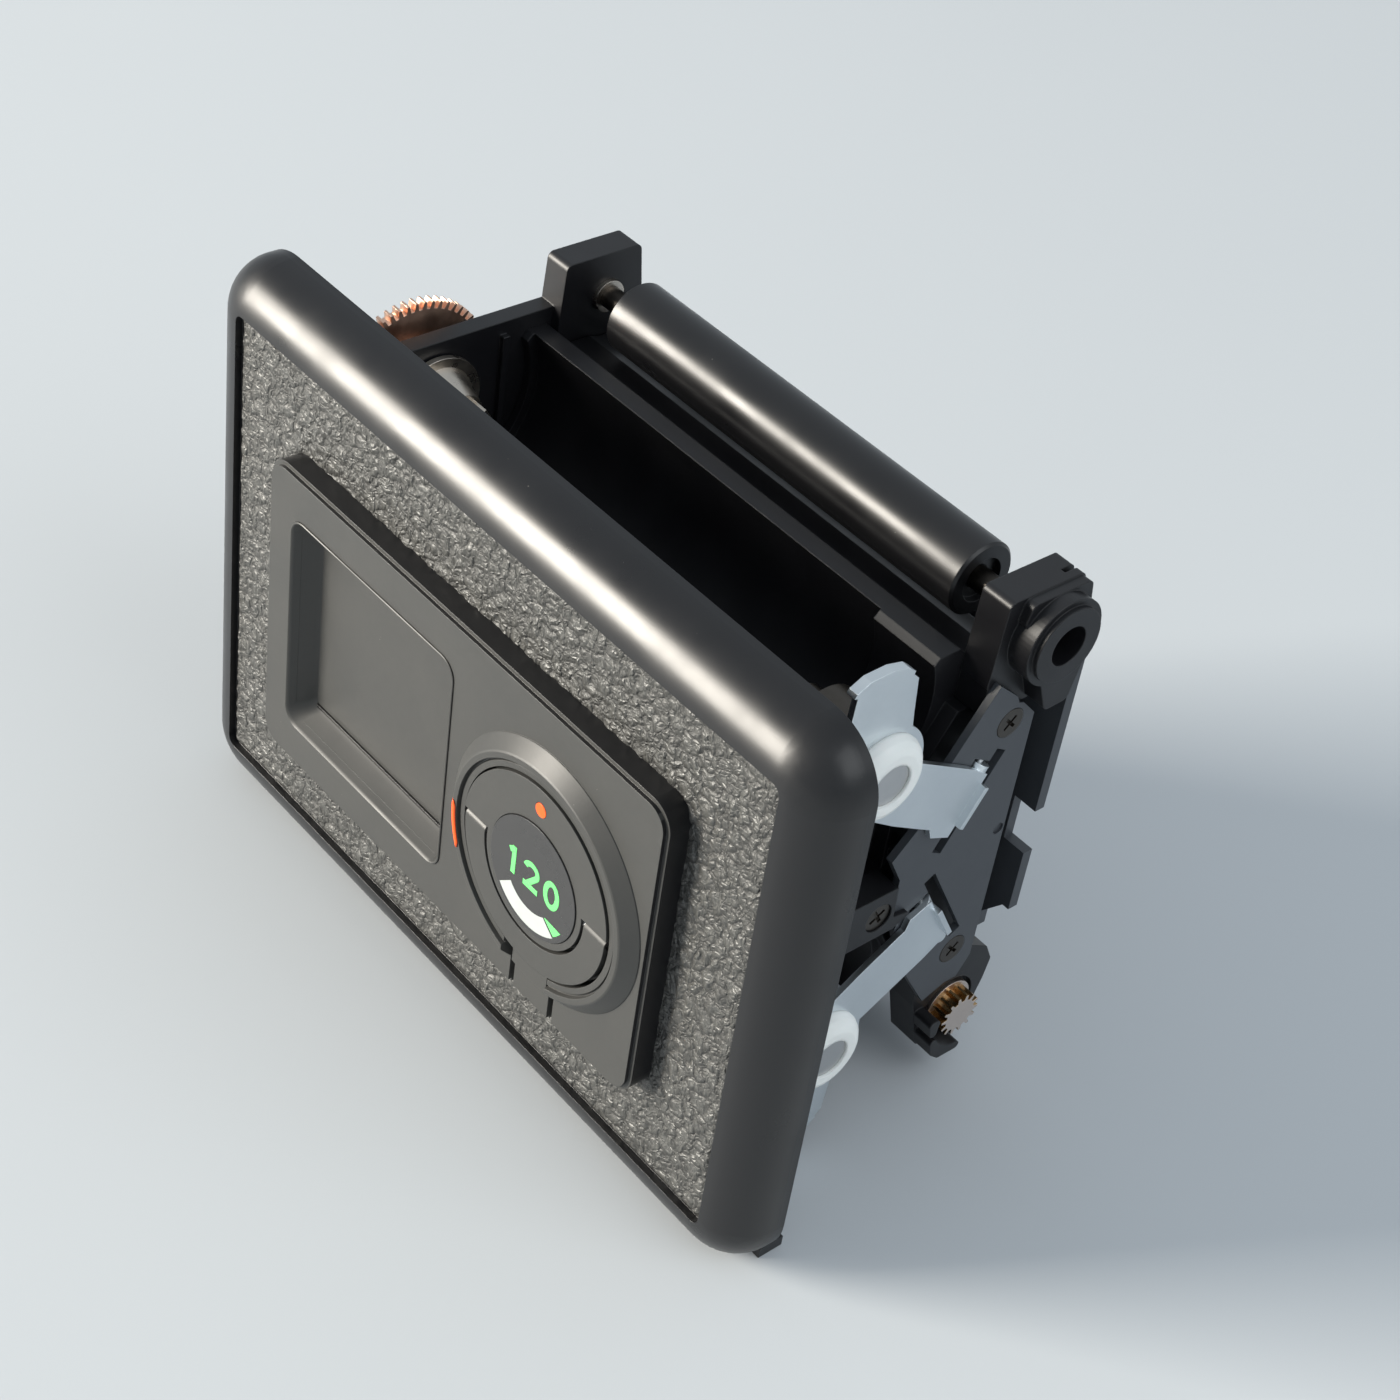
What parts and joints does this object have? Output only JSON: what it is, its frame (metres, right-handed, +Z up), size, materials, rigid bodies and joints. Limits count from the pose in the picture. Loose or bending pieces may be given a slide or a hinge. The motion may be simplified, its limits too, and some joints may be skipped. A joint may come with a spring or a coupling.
{
  "type": "roll-film insert",
  "caption": "Roll-film insert for a 6x4.5 reflex camera back: latching rear cover, spool levers, rollers and pressure plate.",
  "frame": {"origin": "centre of the pressure plate's front face, which is the film plane", "axes": "+X to the right as seen from behind the camera, +Y from the rear cover towards the lens, +Z up"},
  "size_m": [0.1112, 0.0591, 0.0795],
  "materials": {
    "satin_black": "fine satin black lacquer",
    "moulded_black": "black moulding with a faint sheen",
    "grey_plate": "blackened steel plate, dull",
    "leatherette": "pebbled black leatherette",
    "zinc_sheet": "bright zinc-plated sheet",
    "steel_pin": "ground steel",
    "dull_nickel": "warm dull nickel",
    "copper_gear": "copper-toned sintered gear",
    "white_nylon": "white nylon",
    "signal_red": "orange-red fill",
    "label_black": "black printed label"
  },
  "bodies": {
    "back": {"cover_shell": "satin_black", "leather_panel": "leatherette", "memo_plate": "satin_black", "memo_floor": "satin_black", "index_mark": "signal_red", "inner_plate": "moulded_black", "cover_screw_a": "steel_pin", "cover_screw_b": "steel_pin", "cover_screw_c": "steel_pin", "cover_screw_d": "steel_pin", "catch_lug": "moulded_black", "left_cheek": "moulded_black", "upper_column": "moulded_black", "lower_column": "moulded_black", "core_block": "moulded_black", "bridge_bar": "moulded_black", "bridge_screw": "dull_nickel", "side_plate": "grey_plate", "side_screw_upper": "dull_nickel", "side_screw_lower": "dull_nickel", "hinge_pin_upper": "steel_pin", "hinge_pin_lower": "steel_pin", "shaft_upper": "steel_pin", "bush_upper_left": "dull_nickel", "bush_lower_left": "dull_nickel", "bush_lower_right": "dull_nickel"},
    "key": {"key_disc": "satin_black", "key_label": "label_black", "index_dot": "signal_red", "key_shaft": "steel_pin", "ring_pin_left": "steel_pin", "ring_pin_right": "steel_pin"},
    "ring": {"half_ring": "satin_black"},
    "latch_right": {"bolt_right": "steel_pin"},
    "latch_left": {"bolt_left": "steel_pin"},
    "lever_top": {"lever_upper": "zinc_sheet", "boss_upper": "white_nylon", "rivet_upper": "steel_pin"},
    "lever_bottom": {"lever_lower": "zinc_sheet", "boss_lower": "white_nylon", "rivet_lower": "steel_pin"},
    "roller_top": {"roller_upper": "satin_black"},
    "roller_bottom": {"roller_lower": "satin_black", "shaft_lower": "steel_pin", "counter_pinion": "dull_nickel"},
    "take_up": {"take_up_gear": "copper_gear", "take_up_key": "dull_nickel"},
    "supply": {"supply_disc": "dull_nickel", "supply_key": "dull_nickel"},
    "plate": {"pressure_plate": "grey_plate", "pressure_spring_left": "steel_pin", "pressure_spring_right": "steel_pin"}
  },
  "joints": [
    {"name": "key_turn", "type": "hinge", "parent": "back", "child": "key", "pos_m": [0.0194, -0.0554, 0], "axis": [0, -1, 0], "range_deg": [0, 90]},
    {"name": "ring_fold", "type": "hinge", "parent": "key", "child": "ring", "pos_m": [0.0194, -0.0582, 0], "axis": [-1, 0, 0], "range_deg": [0, 90]},
    {"name": "latch_right_slide", "type": "slide", "parent": "back", "child": "latch_right", "axis": [-1, 0, 0], "range_m": [0, 0.0057]},
    {"name": "latch_left_slide", "type": "slide", "parent": "back", "child": "latch_left", "axis": [1, 0, 0], "range_m": [0, 0.0057]},
    {"name": "lever_upper_swing", "type": "hinge", "parent": "back", "child": "lever_top", "pos_m": [0.0418, -0.017, 0.0093], "axis": [0, 0.5, 0.866], "range_deg": [0, 95]},
    {"name": "lever_lower_swing", "type": "hinge", "parent": "back", "child": "lever_bottom", "pos_m": [0.0418, -0.017, -0.0093], "axis": [0, -0.5, 0.866], "range_deg": [0, 95]},
    {"name": "roller_upper_spin", "type": "hinge", "parent": "back", "child": "roller_top", "pos_m": [0, -0.008, 0.0298], "axis": [1, 0, 0], "continuous": true},
    {"name": "roller_lower_spin", "type": "hinge", "parent": "back", "child": "roller_bottom", "pos_m": [0, -0.008, -0.0298], "axis": [1, 0, 0], "continuous": true},
    {"name": "take_up_spin", "type": "hinge", "parent": "back", "child": "take_up", "pos_m": [-0.04, -0.0331, 0.0213], "axis": [1, 0, 0], "continuous": true},
    {"name": "supply_spin", "type": "hinge", "parent": "back", "child": "supply", "pos_m": [-0.04, -0.0331, -0.0213], "axis": [1, 0, 0], "continuous": true},
    {"name": "pressure_plate_press", "type": "slide", "parent": "back", "child": "plate", "axis": [0, -1, 0], "range_m": [0, 0.001], "stiffness_N_per_m": 1500, "springref_m": -0.0005}
  ],
  "couplings": [
    {"joint": "latch_right_slide", "follows": "key_turn", "m_per_rad": 0.0036},
    {"joint": "latch_left_slide", "follows": "key_turn", "m_per_rad": 0.0036}
  ]
}
